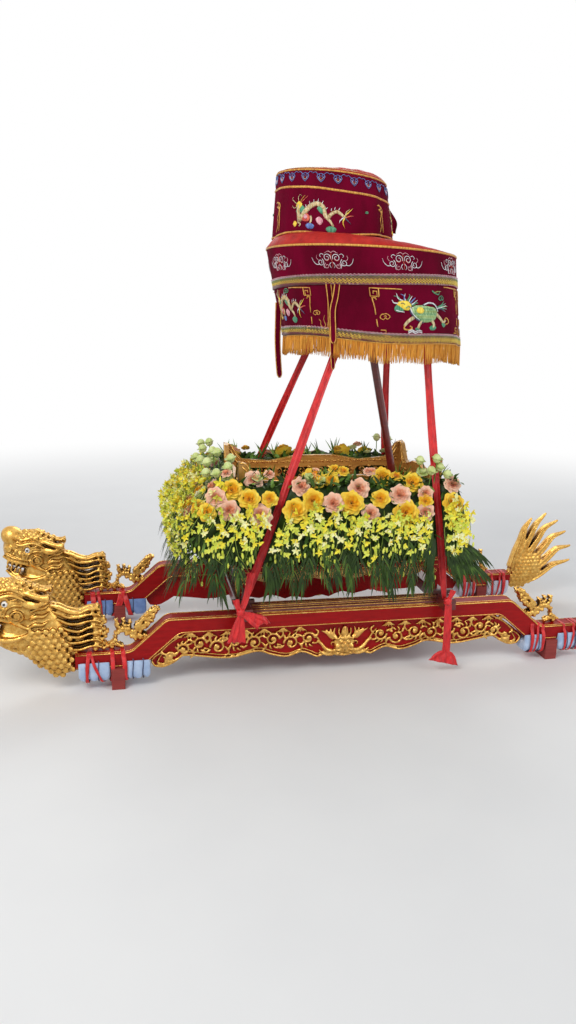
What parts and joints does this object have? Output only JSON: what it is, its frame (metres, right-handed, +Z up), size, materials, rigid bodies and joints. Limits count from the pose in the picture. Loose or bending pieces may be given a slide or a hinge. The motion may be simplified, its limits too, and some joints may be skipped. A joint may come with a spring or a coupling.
{
  "type": "processional palanquin",
  "caption": "Hand-carried palanquin: gilt dragon-head poles joined by crossbars, an altar ringed by flowers and a two-tier velvet canopy guyed by red ribbons.",
  "frame": {"origin": "on the floor, at the middle of the length and width", "axes": "+X along the poles towards the tails, +Y across to the far pole, +Z up"},
  "size_m": [3.1306, 0.97, 2.2005],
  "materials": {
    "gilt": "carved wood under bright gold leaf",
    "red_lacquer": "deep red gloss lacquer",
    "dark_wood": "dark red-brown varnish",
    "block_wood": "dull dark red paint",
    "pad_cloth": "light blue cotton",
    "carved_gilt": "carved wood, gilt",
    "altar_lacquer": "red lacquer with gilt lines",
    "shaft_lacquer": "red lacquer",
    "canopy_frame": "bare bamboo and wood",
    "velvet": "burgundy velvet",
    "fringe": "orange-gold silk threads",
    "satin": "red satin",
    "flowers": "cut flowers and palm leaves"
  },
  "bodies": {
    "palanquin": {"altar_aprons": "carved_gilt", "altar_base": "altar_lacquer", "altar_feet": "carved_gilt", "altar_panel_far": "altar_lacquer", "altar_panel_front": "altar_lacquer", "altar_panel_near": "altar_lacquer", "altar_panel_rear": "altar_lacquer", "altar_posts": "altar_lacquer", "altar_top": "altar_lacquer", "apron_carving_far": "gilt", "apron_carving_near": "gilt", "canopy_fringe": "fringe", "canopy_lower_cover": "velvet", "canopy_lower_frame": "canopy_frame", "canopy_upper_cover": "velvet", "canopy_upper_frame": "canopy_frame", "crossbar_front": "red_lacquer", "crossbar_rear": "red_lacquer", "dragon_head_far": "gilt", "dragon_head_near": "gilt", "dragon_mane_far": "gilt", "dragon_mane_near": "gilt", "flame_crest_front_far": "gilt", "flame_crest_front_near": "gilt", "flame_crest_rear_far": "gilt", "flame_crest_rear_near": "gilt", "flowers_far": "flowers", "flowers_front": "flowers", "flowers_near": "flowers", "foot_blocks": "block_wood", "guy_ribbons": "satin", "parasol_shaft": "shaft_lacquer", "parasol_socket": "shaft_lacquer", "pole_apron_far": "red_lacquer", "pole_apron_near": "red_lacquer", "pole_far": "red_lacquer", "pole_near": "red_lacquer", "railing_far": "carved_gilt", "railing_front": "carved_gilt", "railing_near": "carved_gilt", "railing_rear": "carved_gilt", "shoulder_pads_front": "pad_cloth", "shoulder_pads_rear": "pad_cloth", "step_rail_far": "red_lacquer", "step_rail_near": "red_lacquer", "tail_far": "gilt", "tail_near": "gilt"},
    "peg_front_far": {"peg_front_far": "dark_wood"},
    "peg_front_near": {"peg_front_near": "dark_wood"},
    "peg_rear_far": {"peg_rear_far": "dark_wood"},
    "peg_rear_near": {"peg_rear_near": "dark_wood"}
  },
  "joints": [
    {"name": "peg_front_far_lift", "type": "slide", "parent": "palanquin", "child": "peg_front_far", "axis": [0, 0, 1], "range_m": [0, 0.095]},
    {"name": "peg_front_near_lift", "type": "slide", "parent": "palanquin", "child": "peg_front_near", "axis": [0, 0, 1], "range_m": [0, 0.095]},
    {"name": "peg_rear_far_lift", "type": "slide", "parent": "palanquin", "child": "peg_rear_far", "axis": [0, 0, 1], "range_m": [0, 0.095]},
    {"name": "peg_rear_near_lift", "type": "slide", "parent": "palanquin", "child": "peg_rear_near", "axis": [0, 0, 1], "range_m": [0, 0.095]}
  ]
}
